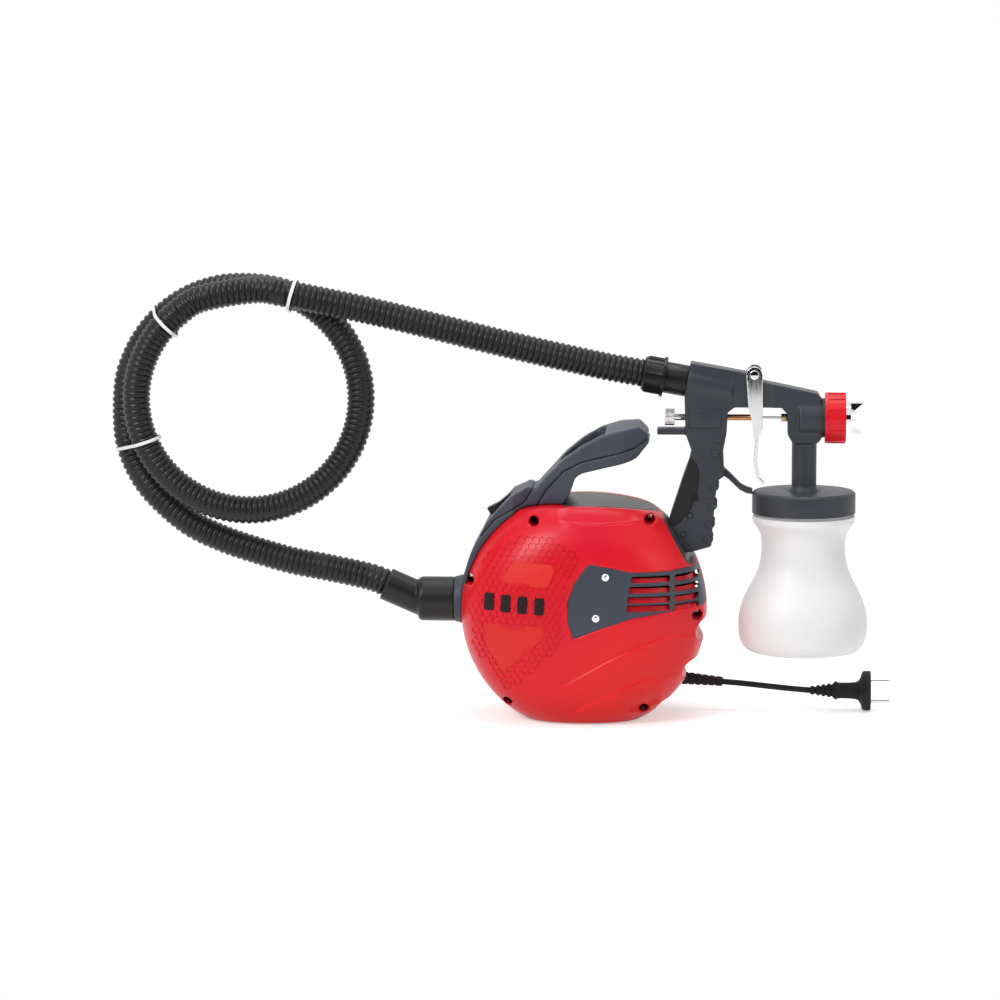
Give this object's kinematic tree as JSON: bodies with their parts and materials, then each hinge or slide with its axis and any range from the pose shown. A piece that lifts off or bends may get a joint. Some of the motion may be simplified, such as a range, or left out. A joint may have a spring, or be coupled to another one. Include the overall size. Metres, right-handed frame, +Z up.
{
  "type": "turbine paint sprayer",
  "caption": "Floor-standing HVLP turbine paint sprayer: round red unit with a carry handle and mains cord, looped air hose, and a cup spray gun standing in the unit's holster.",
  "frame": {"origin": "on the floor, under the centre of the round body", "axes": "+X towards the gun's nozzle, +Y to the back of the unit, +Z up"},
  "size_m": [0.721, 0.1716, 0.406],
  "materials": {
    "case_red": "satin",
    "slate": "matt",
    "graphite": "matt",
    "black_plastic": "satin",
    "black_rubber": "matt",
    "white_plastic": "satin",
    "white_rubber": "matt",
    "chrome": "polished",
    "steel": "satin",
    "brass": "satin",
    "aluminium": "satin",
    "foam": "open foam",
    "carbon": "matt"
  },
  "bodies": {
    "unit": {"shell_front": "case_red", "shell_rear": "case_red", "rubber_sole": "black_rubber", "top_plate": "graphite", "holster_liner": "graphite", "handle_upper": "slate", "handle_lower": "slate", "switch_panel": "slate", "switch_body": "black_plastic", "grille_front": "slate", "grille_rear": "slate", "grille_screws": "steel", "shell_screws": "steel", "filter_foam": "foam", "outlet_ring": "slate", "hose_elbow": "black_plastic", "turbine_housing": "white_plastic", "turbine_backplate": "white_plastic", "rubber_mounts": "black_rubber", "motor_can": "steel", "front_bearing": "steel", "rear_bearing": "steel", "carbon_brushes": "carbon", "air_hose": "black_plastic", "hose_ties": "white_plastic", "cord_boot": "black_rubber", "power_cord": "black_rubber", "plug_body": "black_rubber", "plug_pins": "chrome"},
    "rocker": {"rocker_switch": "black_plastic"},
    "rotor": {"impeller": "aluminium", "armature_shaft": "steel"},
    "gun": {"gun_adaptor": "black_plastic", "gun_body": "graphite", "grip_inlays": "black_rubber", "side_plate": "graphite", "trigger_pin": "chrome", "gland_nut": "brass", "needle_packing": "white_rubber", "needle_spring": "steel", "fluid_nozzle": "steel", "air_baffle": "white_plastic", "cup_lid": "graphite", "lid_gasket": "white_rubber", "dip_tube": "white_plastic"},
    "hose_nut": {"hose_nut": "black_plastic"},
    "trigger": {"trigger": "chrome"},
    "needle": {"needle": "chrome", "needle_sleeve": "brass"},
    "fluid_knob": {"fluid_knob": "chrome"},
    "air_cap": {"air_cap": "chrome"},
    "cap_ring": {"cap_ring": "case_red"},
    "cup": {"paint_cup": "white_plastic"}
  },
  "joints": [
    {"name": "rocker_tilt", "type": "hinge", "parent": "unit", "child": "rocker", "pos_m": [-0.07482, 0, 0.19344], "axis": [0, 1, 0], "range_deg": [-26.8, 0]},
    {"name": "rotor_spin", "type": "hinge", "parent": "unit", "child": "rotor", "pos_m": [0, 0, 0.0704], "axis": [0, 1, 0], "continuous": true},
    {"name": "gun_lift", "type": "slide", "parent": "unit", "child": "gun", "axis": [0.28, 0, 0.96], "range_m": [0, 0.06], "deforming": ["air_hose"]},
    {"name": "hose_nut_turn", "type": "hinge", "parent": "gun", "child": "hose_nut", "pos_m": [0.06416, 0, 0.31461], "axis": [-0.9848, 0, 0.1736], "continuous": true},
    {"name": "trigger_pull", "type": "hinge", "parent": "gun", "child": "trigger", "pos_m": [0.155, 0, 0.3167], "axis": [0, 1, 0], "range_deg": [0, 10], "stiffness_Nm_per_rad": 1, "springref_deg": -11.46},
    {"name": "needle_slide", "type": "slide", "parent": "gun", "child": "needle", "axis": [-1, 0, 0], "range_m": [0, 0.0072], "deforming": ["needle_spring"]},
    {"name": "fluid_knob_turn", "type": "hinge", "parent": "gun", "child": "fluid_knob", "pos_m": [0.09, 0, 0.2763], "axis": [1, 0, 0], "range_deg": [0, 720]},
    {"name": "air_cap_turn", "type": "hinge", "parent": "gun", "child": "air_cap", "pos_m": [0.24, 0, 0.2763], "axis": [1, 0, 0], "range_deg": [-90, 90]},
    {"name": "cap_ring_turn", "type": "hinge", "parent": "gun", "child": "cap_ring", "pos_m": [0.228, 0, 0.2763], "axis": [1, 0, 0], "range_deg": [0, 540]},
    {"name": "cup_turn", "type": "hinge", "parent": "gun", "child": "cup", "pos_m": [0.201, 0, 0.19], "axis": [0, 0, 1], "range_deg": [0, 360]}
  ],
  "couplings": [
    {"joint": "needle_slide", "follows": "trigger_pull", "m_per_rad": 0.0404}
  ]
}
